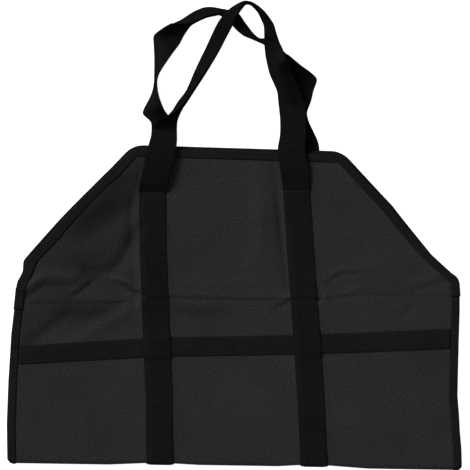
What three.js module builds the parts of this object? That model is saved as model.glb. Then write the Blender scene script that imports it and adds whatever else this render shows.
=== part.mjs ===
// Firewood carrier: one sheet of black polyester cloth, open at the top and at both ends, folded in
// half round its bottom and lying flat. Webbing runs round it under the logs and goes on as two
// handles, which lie past the top edge, twisted and crossed.
// Millimetres. X runs across the carrier, Y from the bottom fold to the handles, Z up from the
// surface that it lies on.

import {
  Box3, BufferGeometry, CatmullRomCurve3, Float32BufferAttribute, Group, MathUtils, Mesh,
  MeshStandardMaterial, Vector2, Vector3
} from 'three';

// Sizes of the cloth
const bodyWidth = 600;
const bodyHeight = 421;
const sideHeight = 246;
const topWidth = 276;
const mouthStep = 4;
const mouthSkew = 4;
const shoulderRadius = 32;
const sheetThick = 1.1;
const foldGap = 11;
const mouthGap = 7.5;
const foldRelief = 3;

// Sizes of the edge tape and the webbing
const tapeWidth = 10;
const tapeThick = 0.9;
const webWidth = 36.5;
const webThick = 1.8;
const crossWidth = 25.5;
const crossThick = 1.4;
const crossHeight = 160;
const creaseHeight = 220;
const strapSpacing = 191;
const headHeight = 369;
const headDrop = 8;
const handleReach = 197;
const foldedEdge = 7;

// Clear space between pieces that touch
const clear = 0.3;

// Levels that follow from the sizes
const sheetFace = sheetThick / 2 + clear;
const backLevel = webThick + clear + sheetThick / 2;
const backMouthLevel = backLevel + tapeThick + clear;
const foldRadius = (foldGap + sheetThick) / 2;
const frontFoldLevel = backLevel + 2 * foldRadius;
const mouthLevel = backMouthLevel + sheetThick + mouthGap;
const seatLevel = mouthLevel + sheetFace;
const rimLevel = seatLevel + tapeThick + clear;
const halfWidth = bodyWidth / 2;

// Side edges of the cloth: height as a share of the side height, edge as a share of half the width.
// The last row of a side is the corner where its slant starts.
const leftSideRows = [
  { up: 0, edge: -0.991 },
  { up: 0.24, edge: -0.996 },
  { up: 0.5, edge: -0.992 },
  { up: 0.76, edge: -0.983 },
  { up: 0.93, edge: -0.968 },
  { up: 0.996, edge: -0.962 },
  { up: 1.04, edge: -0.935 },
  { up: 1.118, edge: -0.936 }
];
const rightSideRows = [
  { up: 0, edge: 1.01 },
  { up: 0.105, edge: 1.006 },
  { up: 0.19, edge: 0.998 },
  { up: 0.275, edge: 0.993 },
  { up: 0.365, edge: 0.985 },
  { up: 0.6, edge: 0.9865 },
  { up: 0.8, edge: 0.989 },
  { up: 0.9, edge: 0.988 },
  { up: 0.965, edge: 0.984 },
  { up: 0.992, edge: 0.976 }
];

// Bow of the slants inwards from a straight line: height as a share of the way from the corner to the
// shoulder, bows as shares of the width of the body
const slantRows = [
  { up: 0, left: 0, right: 0 },
  { up: 0.2, left: 0, right: 0.005 },
  { up: 0.35, left: 0, right: -0.001 },
  { up: 0.6, left: 0.002, right: -0.0095 },
  { up: 0.8, left: 0.002, right: -0.005 },
  { up: 1, left: 0, right: 0 }
];

// Middles of the two straps: height as a share of the head height, middles as shares of the spacing
// at the heads
const strapRows = [
  { up: 0, left: -0.503, right: 0.568 },
  { up: 0.25, left: -0.515, right: 0.538 },
  { up: 0.5, left: -0.543, right: 0.497 },
  { up: 0.8, left: -0.575, right: 0.446 },
  { up: 1, left: -0.584, right: 0.416 },
  { up: 1.2, left: -0.59, right: 0.392 }
];

// Rise of the cross strap from its middle height: place as a share of half the width, rise as a share
// of the width of the body
const crossRows = [
  { across: -1, rise: -0.031 },
  { across: -0.34, rise: -0.006 },
  { across: 0.34, rise: 0.005 },
  { across: 1, rise: 0.023 }
];

// Folds and hollows of the front panel: ends as shares of half the width and of the height, rise as a
// share of the relief (a hollow's is negative), spread as a share of the width
const foldRows = [
  { name: 'packing crease', x0: -0.93, y0: 0.515, x1: 0.93, y1: 0.535, rise: 0.75, spread: 0.026 },
  { name: 'left ridge', x0: -0.9, y0: 0.545, x1: -0.68, y1: 0.62, rise: 0.9, spread: 0.03 },
  { name: 'left diagonal', x0: -0.88, y0: 0.41, x1: -0.6, y1: 0.49, rise: -0.6, spread: 0.035 },
  { name: 'left hollow', x0: -0.52, y0: 0.86, x1: -0.58, y1: 0.69, rise: -0.9, spread: 0.045 },
  { name: 'left swell', x0: -0.72, y0: 0.75, x1: -0.62, y1: 0.64, rise: 0.9, spread: 0.045 },
  { name: 'strap groove', x0: 0.17, y0: 0.93, x1: 0.22, y1: 0.58, rise: -0.6, spread: 0.024 },
  { name: 'right ridge', x0: 0.4, y0: 0.56, x1: 0.55, y1: 0.64, rise: 0.8, spread: 0.03 },
  { name: 'right swell', x0: 0.9, y0: 0.59, x1: 0.72, y1: 0.54, rise: 0.6, spread: 0.035 },
  { name: 'lower left swell', x0: -0.8, y0: 0.12, x1: -0.5, y1: 0.05, rise: 0.5, spread: 0.05 }
];

// The handles, seen from above, from the left foot round to the right one. Out is the edge away from
// the loop, in the one towards it. X is a share of the strap spacing from the left head's middle, Y of
// the reach past the top edge, and lift of the level of the front rim. The last two columns are the
// directions of the outer and the inner half of the webbing, in degrees up from the inner side: 180 and
// 0 lie open and flat, and two alike are folded lengthwise.
const frontHandleRows = [
  { outX: -0.094, outY: -0.262, inX: 0.102, inY: -0.264, lift: 1.22, out: 180, in: 0 },
  { outX: -0.075, outY: -0.159, inX: 0.124, inY: -0.163, lift: 1.28, out: 180, in: 0 },
  { outX: -0.049, outY: -0.04, inX: 0.153, inY: -0.047, lift: 1.22, out: 180, in: 0 },
  { outX: -0.026, outY: 0.049, inX: 0.164, inY: 0.045, lift: 1.05, out: 178, in: 2 },
  { outX: -0.003, outY: 0.13, inX: 0.162, inY: 0.126, lift: 0.8, out: 172, in: 4 },
  { outX: 0.021, outY: 0.175, inX: 0.164, inY: 0.174, lift: 0.82, out: 130, in: 5 },
  { outX: 0.083, outY: 0.21, inX: 0.174, inY: 0.208, lift: 0.8, out: 85, in: 20 },
  { outX: 0.127, outY: 0.254, inX: 0.197, inY: 0.259, lift: 0.62, out: 56, in: 42 },
  { outX: 0.167, outY: 0.32, inX: 0.234, inY: 0.314, lift: 0.3, out: 48, in: 48 },
  { outX: 0.221, outY: 0.392, inX: 0.282, inY: 0.389, lift: 0.1, out: 54, in: 54 },
  { outX: 0.285, outY: 0.543, inX: 0.359, inY: 0.509, lift: 0.05, out: 35, in: 35 },
  { outX: 0.354, outY: 0.686, inX: 0.44, inY: 0.645, lift: 0.15, out: 12, in: 12 },
  { outX: 0.398, outY: 0.783, inX: 0.49, inY: 0.741, lift: 0.5, out: 5, in: 5 },
  { outX: 0.439, outY: 0.859, inX: 0.53, inY: 0.815, lift: 0.92, out: 2, in: 2 },
  { outX: 0.491, outY: 0.924, inX: 0.565, inY: 0.887, lift: 1, out: 12, in: 12 },
  { outX: 0.543, outY: 0.968, inX: 0.604, inY: 0.951, lift: 0.5, out: 45, in: 45 },
  { outX: 0.61, outY: 1.003, inX: 0.631, inY: 0.98, lift: 0.1, out: 84, in: 84 },
  { outX: 0.666, outY: 0.997, inX: 0.661, inY: 0.975, lift: 0.05, out: 90, in: 90 },
  { outX: 0.713, outY: 0.973, inX: 0.688, inY: 0.951, lift: 0.05, out: 80, in: 80 },
  { outX: 0.756, outY: 0.936, inX: 0.711, inY: 0.918, lift: 0.15, out: 62, in: 62 },
  { outX: 0.795, outY: 0.889, inX: 0.732, inY: 0.878, lift: 0.4, out: 48, in: 48 },
  { outX: 0.825, outY: 0.842, inX: 0.752, inY: 0.831, lift: 0.8, out: 38, in: 38 },
  { outX: 0.842, outY: 0.785, inX: 0.756, inY: 0.777, lift: 1.3, out: 31, in: 31 },
  { outX: 0.863, outY: 0.727, inX: 0.758, inY: 0.716, lift: 1.4, out: 80, in: 0 },
  { outX: 0.89, outY: 0.667, inX: 0.765, inY: 0.644, lift: 1.4, out: 105, in: -5 },
  { outX: 0.917, outY: 0.599, inX: 0.779, inY: 0.577, lift: 1.25, out: 140, in: -45 },
  { outX: 0.944, outY: 0.535, inX: 0.798, inY: 0.509, lift: 1, out: 208, in: -46 },
  { outX: 0.976, outY: 0.468, inX: 0.829, inY: 0.445, lift: 0.8, out: 210, in: -46 },
  { outX: 1.01, outY: 0.404, inX: 0.853, inY: 0.391, lift: 0.62, out: 206, in: -40 },
  { outX: 1.038, outY: 0.343, inX: 0.86, inY: 0.337, lift: 0.5, out: 196, in: -24 },
  { outX: 1.052, outY: 0.296, inX: 0.866, inY: 0.293, lift: 0.48, out: 186, in: -8 },
  { outX: 1.057, outY: 0.201, inX: 0.877, inY: 0.198, lift: 0.62, out: 180, in: 0 },
  { outX: 1.061, outY: 0.099, inX: 0.877, inY: 0.096, lift: 0.85, out: 180, in: 0 },
  { outX: 1.061, outY: -0.003, inX: 0.873, inY: -0.006, lift: 1.06, out: 180, in: 0 },
  { outX: 1.088, outY: -0.138, inX: 0.893, inY: -0.141, lift: 1.08, out: 180, in: 0 }
];
const backHandleRows = [
  { outX: -0.068, outY: -0.156, inX: 0.127, inY: -0.153, lift: 0, out: 180, in: 0 },
  { outX: -0.039, outY: -0.026, inX: 0.153, inY: -0.023, lift: 0, out: 180, in: 0 },
  { outX: -0.023, outY: 0.055, inX: 0.162, inY: 0.058, lift: 0, out: 180, in: 0 },
  { outX: -0.017, outY: 0.12, inX: 0.15, inY: 0.139, lift: 0, out: 180, in: 0 },
  { outX: -0.024, outY: 0.177, inX: 0.121, inY: 0.2, lift: 0, out: 184, in: 4 },
  { outX: -0.08, outY: 0.228, inX: 0.086, inY: 0.237, lift: 0, out: 194, in: 14 },
  { outX: -0.065, outY: 0.279, inX: 0.064, inY: 0.274, lift: 0, out: 222, in: 42 },
  { outX: -0.034, outY: 0.337, inX: 0.041, inY: 0.331, lift: 0, out: 246, in: 66 },
  { outX: -0.015, outY: 0.388, inX: 0.023, inY: 0.385, lift: 0, out: 258, in: 78 },
  { outX: -0.006, outY: 0.442, inX: 0.015, inY: 0.443, lift: 0, out: 264, in: 84 },
  { outX: -0.005, outY: 0.497, inX: 0.024, inY: 0.49, lift: 0, out: 262, in: 82 },
  { outX: -0.005, outY: 0.571, inX: 0.054, inY: 0.529, lift: 0, out: 250, in: 70 },
  { outX: -0.007, outY: 0.632, inX: 0.084, inY: 0.575, lift: 0, out: 237, in: 57 },
  { outX: -0.011, outY: 0.693, inX: 0.114, inY: 0.621, lift: 0, out: 222, in: 42 },
  { outX: -0.012, outY: 0.76, inX: 0.145, inY: 0.667, lift: 0, out: 198, in: 18 },
  { outX: 0.044, outY: 0.803, inX: 0.175, inY: 0.712, lift: 0, out: 130, in: 4 },
  { outX: 0.101, outY: 0.836, inX: 0.199, inY: 0.759, lift: 0, out: 105, in: 2 },
  { outX: 0.173, outY: 0.867, inX: 0.238, inY: 0.815, lift: 0, out: 50, in: 24 },
  { outX: 0.259, outY: 0.923, inX: 0.268, inY: 0.84, lift: 0, out: 24, in: 24 },
  { outX: 0.336, outY: 0.955, inX: 0.351, inY: 0.88, lift: 0, out: 33, in: 33 },
  { outX: 0.398, outY: 0.958, inX: 0.41, inY: 0.893, lift: 0, out: 42, in: 42 },
  { outX: 0.458, outY: 0.948, inX: 0.446, inY: 0.899, lift: 0, out: 40, in: 40 },
  { outX: 0.517, outY: 0.938, inX: 0.49, inY: 0.871, lift: 0, out: 18, in: 18 },
  { outX: 0.579, outY: 0.916, inX: 0.536, inY: 0.832, lift: 0, out: 0, in: 0 },
  { outX: 0.616, outY: 0.867, inX: 0.566, inY: 0.801, lift: 0, out: 18, in: 18 },
  { outX: 0.662, outY: 0.809, inX: 0.614, inY: 0.764, lift: 0, out: 38, in: 38 },
  { outX: 0.697, outY: 0.772, inX: 0.666, inY: 0.743, lift: 0, out: 52, in: 52 },
  { outX: 0.729, outY: 0.752, inX: 0.714, inY: 0.723, lift: 0, out: 60, in: 60 },
  { outX: 0.788, outY: 0.75, inX: 0.763, inY: 0.7, lift: 0, out: 42, in: 42 },
  { outX: 0.841, outY: 0.7, inX: 0.786, inY: 0.638, lift: 0, out: 22, in: 22 },
  { outX: 0.89, outY: 0.67, inX: 0.818, inY: 0.591, lift: 0, out: 70, in: 5 },
  { outX: 0.954, outY: 0.62, inX: 0.865, inY: 0.524, lift: 0, out: 112, in: 0 },
  { outX: 1.024, outY: 0.567, inX: 0.911, inY: 0.443, lift: 0, out: 142, in: 0 },
  { outX: 1.088, outY: 0.525, inX: 0.943, inY: 0.416, lift: 0, out: 165, in: 0 },
  { outX: 1.131, outY: 0.48, inX: 0.954, inY: 0.386, lift: 0, out: 176, in: 0 },
  { outX: 1.108, outY: 0.405, inX: 0.927, inY: 0.352, lift: 0, out: 180, in: 0 },
  { outX: 1.091, outY: 0.33, inX: 0.907, inY: 0.307, lift: 0, out: 180, in: 0 },
  { outX: 1.064, outY: 0.252, inX: 0.88, inY: 0.246, lift: 0, out: 180, in: 0 },
  { outX: 1.083, outY: 0.184, inX: 0.895, inY: 0.171, lift: 0, out: 180, in: 0 },
  { outX: 1.112, outY: 0.127, inX: 0.927, inY: 0.104, lift: 0, out: 180, in: 0 },
  { outX: 1.144, outY: 0.06, inX: 0.956, inY: 0.043, lift: 0, out: 180, in: 0 },
  { outX: 1.154, outY: -0.008, inX: 0.964, inY: -0.011, lift: 0, out: 180, in: 0 },
  { outX: 1.123, outY: -0.137, inX: 0.931, inY: -0.14, lift: 0, out: 180, in: 0 }
];

// Value of one column of a table at a place along another column, with straight lines between rows
function along(rows, key, at, column) {
  const last = rows.length - 1;
  let row = 0;
  while (row < last - 1 && at > rows[row + 1][key]) row += 1;
  const a = rows[row];
  const b = rows[row + 1];
  const share = Math.min(1, Math.max(0, (at - a[key]) / (b[key] - a[key])));
  return a[column] + (b[column] - a[column]) * share;
}

function ease(from, to, at) {
  const share = Math.min(1, Math.max(0, (at - from) / (to - from)));
  return share * share * (3 - 2 * share);
}

// Outline of one panel. The front one is smaller by the mouth step on its slants and its top.
function panelTop(front) {
  return bodyHeight - (front ? mouthStep : 0);
}

function edgeAt(y, side, front) {
  const table = side < 0 ? leftSideRows : rightSideRows;
  const corner = table[table.length - 1];
  const cornerHeight = sideHeight * corner.up;
  if (y <= cornerHeight) return halfWidth * along(table, 'up', y / sideHeight, 'edge');
  const shoulder = side * topWidth / 2;
  const share = (y - cornerHeight) / (bodyHeight - cornerHeight);
  const step = front ? side * mouthStep * ease(cornerHeight, headHeight, y) : 0;
  const bow = side * bodyWidth * along(slantRows, 'up', share, side < 0 ? 'left' : 'right');
  return halfWidth * corner.edge + (shoulder - halfWidth * corner.edge) * share - step - bow;
}

// Width of the edge tape measured across the carrier, which is more on a slant
function tapeReach(y) {
  const run = halfWidth - topWidth / 2;
  const onSlant = tapeWidth * Math.hypot(1, run / (bodyHeight - sideHeight));
  return tapeWidth + (onSlant - tapeWidth) * ease(sideHeight - tapeWidth, sideHeight + tapeWidth, y);
}

function strapMiddle(y, side) {
  return strapSpacing * along(strapRows, 'up', y / headHeight, side < 0 ? 'left' : 'right');
}

// The lines that run up the cloth, from the left edge to the right one, and the strips between them
const zoneStrips = [1, 6, 2, 8, 2, 6, 1];

function columnLines(y, front) {
  const left = edgeAt(y, -1, front);
  const right = edgeAt(y, 1, front);
  const leftStrap = strapMiddle(y, -1);
  const rightStrap = strapMiddle(y, 1);
  return [
    left, left + tapeReach(y), leftStrap - webWidth / 2, leftStrap + webWidth / 2,
    rightStrap - webWidth / 2, rightStrap + webWidth / 2, right - tapeReach(y), right
  ];
}

const zoneStart = [0];
for (const strips of zoneStrips) zoneStart.push(zoneStart[zoneStart.length - 1] + strips);
const lastColumn = zoneStart[zoneStart.length - 1];

function columnX(column, y, front) {
  const zone = Math.min(zoneStrips.length - 1, zoneStart.findIndex((start) => start > column) - 1);
  const pick = zone < 0 ? zoneStrips.length - 1 : zone;
  const lines = columnLines(y, front);
  const share = (column - zoneStart[pick]) / zoneStrips[pick];
  return lines[pick] + (lines[pick + 1] - lines[pick]) * share;
}

// The rows of the cloth, from the back mouth round the fold to the front mouth
const ramp = 6;
const foldSteps = 6;

function panelMarks(front) {
  const top = panelTop(front);
  return [
    { y: foldRadius, strips: front ? 5 : 3 },
    { y: crossHeight - crossWidth / 2 - ramp, strips: 1 },
    { y: crossHeight - crossWidth / 2, strips: 1, cross: true, name: 'crossLow' },
    { y: crossHeight + crossWidth / 2, strips: 1, cross: true, name: 'crossHigh' },
    { y: crossHeight + crossWidth / 2 + ramp, strips: front ? 2 : 1 },
    { y: creaseHeight, strips: front ? 2 : 1 },
    { y: sideHeight, strips: 1, name: 'corner' },
    { y: sideHeight * leftSideRows[leftSideRows.length - 1].up, strips: front ? 4 : 2 },
    { y: headHeight, strips: front ? 2 : 1, name: 'head' },
    { y: top - tapeWidth, strips: 1, name: 'tape' },
    { y: top, strips: 0, name: 'top' }
  ];
}

function panelRows(front) {
  const marks = panelMarks(front);
  const rows = [];
  marks.forEach((mark, index) => {
    rows.push({ front, y: mark.y, cross: mark.cross, name: mark.name });
    for (let strip = 1; strip < mark.strips; strip += 1) {
      const share = strip / mark.strips;
      rows.push({ front, y: mark.y + (marks[index + 1].y - mark.y) * share });
    }
  });
  return rows;
}

const foldRowsBetween = [];
for (let step = 1; step < foldSteps; step += 1) {
  foldRowsBetween.push({ turn: Math.PI * (step / foldSteps - 0.5) });
}
const rows = [...panelRows(false).reverse(), ...foldRowsBetween, ...panelRows(true)];

function rowOf(front, name) {
  return rows.findIndex((row) => row.front === front && row.name === name);
}

// Where the straps draw the bottom fold in: place as a share of half the width, dip as a share of
// the gap in the fold
const foldDipRows = [
  { across: -0.55, dip: 0 },
  { across: -0.39, dip: 0.24 },
  { across: -0.25, dip: 0.24 },
  { across: -0.15, dip: 0.12 },
  { across: 0.2, dip: 0.12 },
  { across: 0.29, dip: 0.29 },
  { across: 0.43, dip: 0.29 },
  { across: 0.6, dip: 0 }
];

// Slope of the cloth's rows at a place: that of the cross strap, which fades out towards the fold and
// the heads, and the skew of the mouth
function slopeAt(x, y) {
  const rise = bodyWidth * along(crossRows, 'across', x / halfWidth, 'rise');
  const fade = y < crossHeight ? y / crossHeight : 1 - ease(crossHeight, headHeight, y);
  return rise * fade - mouthSkew * (x / topWidth) * ease(sideHeight, bodyHeight, y) - headDropAt(x, y);
}

// The left strap's head is sewn lower than the right one's, and the rows dip there
function headDropAt(x, y) {
  const aside = x - strapMiddle(headHeight, -1);
  const near = aside < 0
    ? 1 - ease(webWidth / 2, webWidth * 1.8, -aside)
    : 1 - ease(webWidth / 2, strapSpacing - webWidth / 2, aside);
  return headDrop * near * ease(sideHeight, headHeight, y) * (1 - ease(headHeight, bodyHeight - 2 * tapeWidth, y));
}

// Folds and hollows of the front panel
function reliefAt(x, y) {
  const spot = new Vector2(x, y);
  let height = 0;
  for (const fold of foldRows) {
    const from = new Vector2(fold.x0 * halfWidth, fold.y0 * bodyHeight);
    const run = new Vector2(fold.x1 * halfWidth, fold.y1 * bodyHeight).sub(from);
    const share = spot.clone().sub(from).dot(run) / run.lengthSq();
    const held = Math.min(1, Math.max(0, share));
    const away = spot.distanceTo(from.addScaledVector(run, held)) / (fold.spread * bodyWidth);
    height += fold.rise * foldRelief * Math.exp(-away * away);
  }
  return height * ease(foldRadius, crossHeight / 2, y) * (1 - ease(headHeight - webWidth, headHeight, y));
}

function levelAt(x, y, front) {
  if (!front) return backLevel + (backMouthLevel - backLevel) * ease(headHeight, bodyHeight - tapeWidth, y);
  const low = ease(foldRadius, headHeight, y);
  const left = edgeAt(y, -1, front) + tapeReach(y);
  const right = edgeAt(y, 1, front) - tapeReach(y);
  const held = Math.min(right, Math.max(left, x));
  return frontFoldLevel + (mouthLevel - frontFoldLevel) * low + reliefAt(held, y);
}

// True where a strap lies over the cross strap
function isCrossing(column, row) {
  const onLeft = column >= zoneStart[2] && column <= zoneStart[3];
  const onRight = column >= zoneStart[4] && column <= zoneStart[5];
  return Boolean(rows[row].cross) && (onLeft || onRight);
}

// A point of the cloth at a height above the middle of its thickness, measured away from the space
// between the panels
function clothPoint(column, row, height) {
  const { front, turn, y, name } = rows[row];
  if (turn !== undefined) {
    const x = columnX(column, 0, true);
    const radius = foldRadius + height;
    const middle = backLevel + foldRadius;
    const dip = foldGap * along(foldDipRows, 'across', x / halfWidth, 'dip') * Math.cos(turn);
    return new Vector3(x, foldRadius - radius * Math.cos(turn) + dip, middle + radius * Math.sin(turn));
  }
  const x = columnX(column, y, front);
  const spot = new Vector3(x, y + slopeAt(x, y), levelAt(x, y, front));
  const atShoulder = name === 'top' && (column === 0 || column === lastColumn);
  if (atShoulder) {
    const pull = shoulderRadius * (1 / Math.cos(Math.PI / 8) - 1);
    spot.x -= Math.sign(x) * pull * Math.sin(Math.PI / 8);
    spot.y -= pull * Math.cos(Math.PI / 8);
  }
  if (!front && isCrossing(column, row)) spot.z += crossThick + clear;
  spot.z += front ? height : -height;
  return spot;
}

// A closed solid from rings of points: each ring is one section, and the two ends are capped. The
// caps are fans from pairs of points, for sections that are long and thin.
function solidFromRings(rings) {
  const points = [];
  const faces = [];
  const size = rings[0].length;
  for (const ring of rings) for (const point of ring) points.push(point.x, point.y, point.z);
  for (let k = 0; k < rings.length - 1; k += 1) {
    for (let i = 0; i < size; i += 1) {
      const a = k * size + i;
      const b = k * size + (i + 1) % size;
      const nearHalf = i < size / 2;
      if (nearHalf) faces.push(a, a + size, b, b, a + size, b + size);
      else faces.push(a, a + size, b + size, a, b + size, b);
    }
  }
  for (const start of [0, (rings.length - 1) * size]) {
    for (let i = 0; i < size / 2 - 1; i += 1) {
      const a = start + i;
      const b = start + i + 1;
      const c = start + size - 2 - i;
      const d = start + size - 1 - i;
      const cap = start === 0 ? [a, b, d, b, c, d] : [a, d, b, b, d, c];
      faces.push(...cap);
    }
  }
  const geometry = new BufferGeometry();
  geometry.setAttribute('position', new Float32BufferAttribute(points, 3));
  geometry.setIndex(faces);
  return facingOut(geometry);
}

// Turns a closed solid the right way round
function facingOut(geometry) {
  const spot = geometry.getAttribute('position');
  const index = geometry.getIndex();
  let volume = 0;
  for (let i = 0; i < index.count; i += 3) {
    const [a, b, c] = [0, 1, 2].map((k) => new Vector3().fromBufferAttribute(spot, index.getX(i + k)));
    volume += a.dot(b.cross(c));
  }
  if (volume < 0) {
    for (let i = 0; i < index.count; i += 3) {
      const swap = index.getX(i);
      index.setX(i, index.getX(i + 1));
      index.setX(i + 1, swap);
    }
  }
  geometry.computeVertexNormals();
  return geometry;
}

// A layer of the stack: a closed slab over a range of columns and rows, between two heights
function clothLayer(columns, span, low, high) {
  const rings = [];
  for (let row = span[0]; row <= span[1]; row += 1) {
    const ring = [];
    for (let column = columns[0]; column <= columns[1]; column += 1) {
      ring.push(clothPoint(column, row, high(column, row)));
    }
    for (let column = columns[1]; column >= columns[0]; column -= 1) {
      ring.push(clothPoint(column, row, low(column, row)));
    }
    rings.push(ring);
  }
  return solidFromRings(rings);
}

// Edge tape folded over the cloth's edge: stops are pairs of an edge point and the point of the grid
// behind it, both as column and row
function edgeTape(stops) {
  const edge = stops.map((stop) => clothPoint(...stop.edge, 0));
  const inner = stops.map((stop) => clothPoint(...stop.inner, 0));
  const last = stops.length - 1;
  const rings = stops.map((stop, index) => {
    const before = edge[Math.max(0, index - 1)];
    const after = edge[Math.min(last, index + 1)];
    const tangent = after.clone().sub(before).normalize();
    const face = clothPoint(...stop.edge, 1).sub(edge[index]);
    const outward = tangent.cross(face).normalize();
    if (outward.dot(edge[index].clone().sub(inner[index])) < 0) outward.negate();
    const place = (spot, height, reach) => {
      const onEdge = spot === 'edge';
      const base = onEdge ? clothPoint(...stop.edge, height) : clothPoint(...stop.inner, height);
      return base.addScaledVector(outward, reach);
    };
    const near = sheetFace;
    const far = sheetFace + tapeThick;
    return [
      place('inner', far, clear), place('edge', far, clear + tapeThick),
      place('edge', -far, clear + tapeThick), place('inner', -far, clear),
      place('inner', -near, clear), place('edge', -near, clear),
      place('edge', near, clear), place('inner', near, clear)
    ];
  });
  // The C section's own middle line gives its caps: outer points against inner ones
  const trimmed = rings.map((ring, index) => {
    if (index !== 0 && index !== last) return ring;
    const next = rings[index === 0 ? 1 : last - 1];
    return ring.map((point, k) => {
      const run = next[k].clone().sub(point);
      return point.clone().addScaledVector(run, clear / run.length());
    });
  });
  return solidFromRings(trimmed);
}

// One section of handle webbing, across and up: the middle line turns from the outer half's direction
// to the inner one's over the folded edge. It is stretched to lie between 0 and 1 across, with its
// lowest point on the ground line.
const sectionStops = [-1, -0.19, -0.065, 0.065, 0.19, 1];
const stepsBetweenStops = 12;

function webSection(outer, inner) {
  const angleAt = (s) => {
    const share = Math.min(1, Math.max(0, s / foldedEdge + 0.5));
    return MathUtils.degToRad(outer - 180 + (inner - outer + 180) * share);
  };
  const stops = sectionStops.map((share) => share * webWidth / 2);
  const middle = [new Vector2(0, 0)];
  for (let i = 1; i < stops.length; i += 1) {
    const spot = middle[i - 1].clone();
    const step = (stops[i] - stops[i - 1]) / stepsBetweenStops;
    for (let k = 0; k < stepsBetweenStops; k += 1) {
      const angle = angleAt(stops[i - 1] + (k + 0.5) * step);
      spot.add(new Vector2(Math.cos(angle), Math.sin(angle)).multiplyScalar(step));
    }
    middle.push(spot);
  }
  const offset = (i, side) => {
    const angle = angleAt(stops[i]);
    const normal = new Vector2(-Math.sin(angle), Math.cos(angle));
    return middle[i].clone().addScaledVector(normal, side * webThick / 2);
  };
  const upper = middle.map((_, i) => offset(i, 1));
  const lower = middle.map((_, i) => offset(i, -1)).reverse();
  const ring = [...upper, ...lower];
  const xs = ring.map((point) => point.x);
  const ys = ring.map((point) => point.y);
  const left = Math.min(...xs);
  const width = Math.max(...xs) - left;
  return ring.map((point) => new Vector2((point.x - left) / width, point.y - Math.min(...ys)));
}

// A handle: the section carried along between its two edges, from one strap's head to the other's
const handleSteps = 2;

function handleSolid(table, headLift) {
  const origin = strapMiddle(headHeight, -1);
  const place = (x, y, lift) => new Vector3(
    origin + x * strapSpacing, bodyHeight + y * handleReach, lift * rimLevel
  );
  const headCorner = (side, way) => {
    const x = strapMiddle(headHeight, side) + way * webWidth / 2;
    return new Vector3(x, headHeight + slopeAt(x, headHeight) + clear, headLift);
  };
  const head = (side) => ({ out: headCorner(side, side), in: headCorner(side, -side), turns: [180, 0] });
  const stops = table.map((row) => ({
    out: place(row.outX, row.outY, row.lift),
    in: place(row.inX, row.inY, row.lift),
    turns: [row.out, row.in]
  }));
  stops.unshift(head(-1));
  stops.push(head(1));
  const outCurve = new CatmullRomCurve3(stops.map((stop) => stop.out), false, 'catmullrom', 0.4);
  const inCurve = new CatmullRomCurve3(stops.map((stop) => stop.in), false, 'catmullrom', 0.4);
  const total = (stops.length - 1) * handleSteps;
  const rings = [];
  for (let k = 0; k <= total; k += 1) {
    const out = outCurve.getPoint(k / total);
    const across = inCurve.getPoint(k / total).sub(out);
    const row = Math.min(stops.length - 2, Math.floor(k / handleSteps));
    const share = k / handleSteps - row;
    const [outer, inner] = [0, 1].map((i) => MathUtils.lerp(stops[row].turns[i], stops[row + 1].turns[i], share));
    rings.push(webSection(outer, inner).map((point) => {
      const spot = out.clone().addScaledVector(across, point.x);
      spot.z = Math.max(0, spot.z) + point.y;
      return spot;
    }));
  }
  return solidFromRings(rings);
}

// Finishes
const cloth = { color: 0x29292a, roughness: 0.85, metalness: 0 };
const webbing = { color: 0x161617, roughness: 0.8, metalness: 0 };
const tape = { color: 0x18181a, roughness: 0.8, metalness: 0 };

const carrier = new Group();

function addPiece(name, geometry, finish) {
  const mesh = new Mesh(geometry, new MeshStandardMaterial(finish));
  mesh.name = name;
  carrier.add(mesh);
}

// Cloth sheet
const half = () => sheetThick / 2;
addPiece('body_sheet', clothLayer([0, lastColumn], [0, rows.length - 1], () => -sheetThick / 2, half), cloth);

// Webbing straps round the fold, and the cross straps under them
const crossTop = sheetFace + crossThick;
const strapLow = (column, row) => (isCrossing(column, row) ? crossTop + clear : sheetFace);
const strapHigh = (column, row) => strapLow(column, row) + webThick;
const heads = [rowOf(false, 'head'), rowOf(true, 'head')];
addPiece('strap_left', clothLayer([zoneStart[2], zoneStart[3]], heads, strapLow, strapHigh), webbing);
addPiece('strap_right', clothLayer([zoneStart[4], zoneStart[5]], heads, strapLow, strapHigh), webbing);
for (const front of [true, false]) {
  const span = [rowOf(front, 'crossLow'), rowOf(front, 'crossHigh')].sort((a, b) => a - b);
  const columns = [zoneStart[1], lastColumn - zoneStrips[zoneStrips.length - 1]];
  const name = front ? 'cross_strap_front' : 'cross_strap_back';
  addPiece(name, clothLayer(columns, span, () => sheetFace, () => crossTop), webbing);
}

// Edge tape: one length along the slants and the top of each panel, one round the fold at each side
for (const front of [true, false]) {
  const order = front ? 1 : -1;
  const corner = rowOf(front, 'corner');
  const top = rowOf(front, 'top');
  const under = top - order;
  const stops = [];
  for (let row = corner; row !== top; row += order) stops.push({ edge: [0, row], inner: [1, row] });
  for (let column = 0; column <= lastColumn; column += 1) {
    const inside = Math.min(lastColumn - 1, Math.max(1, column));
    stops.push({ edge: [column, top], inner: [inside, under] });
  }
  for (let row = under; row !== corner - order; row -= order) {
    stops.push({ edge: [lastColumn, row], inner: [lastColumn - 1, row] });
  }
  addPiece(front ? 'top_tape_front' : 'top_tape_back', edgeTape(stops), tape);
}
for (const [name, edge, inner] of [['side_tape_left', 0, 1], ['side_tape_right', lastColumn, lastColumn - 1]]) {
  const stops = [];
  for (let row = rowOf(false, 'corner'); row <= rowOf(true, 'corner'); row += 1) {
    stops.push({ edge: [edge, row], inner: [inner, row] });
  }
  addPiece(name, edgeTape(stops), tape);
}

// Handles
addPiece('handle_front', handleSolid(frontHandleRows, seatLevel), webbing);
addPiece('handle_back', handleSolid(backHandleRows, 0), webbing);

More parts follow.
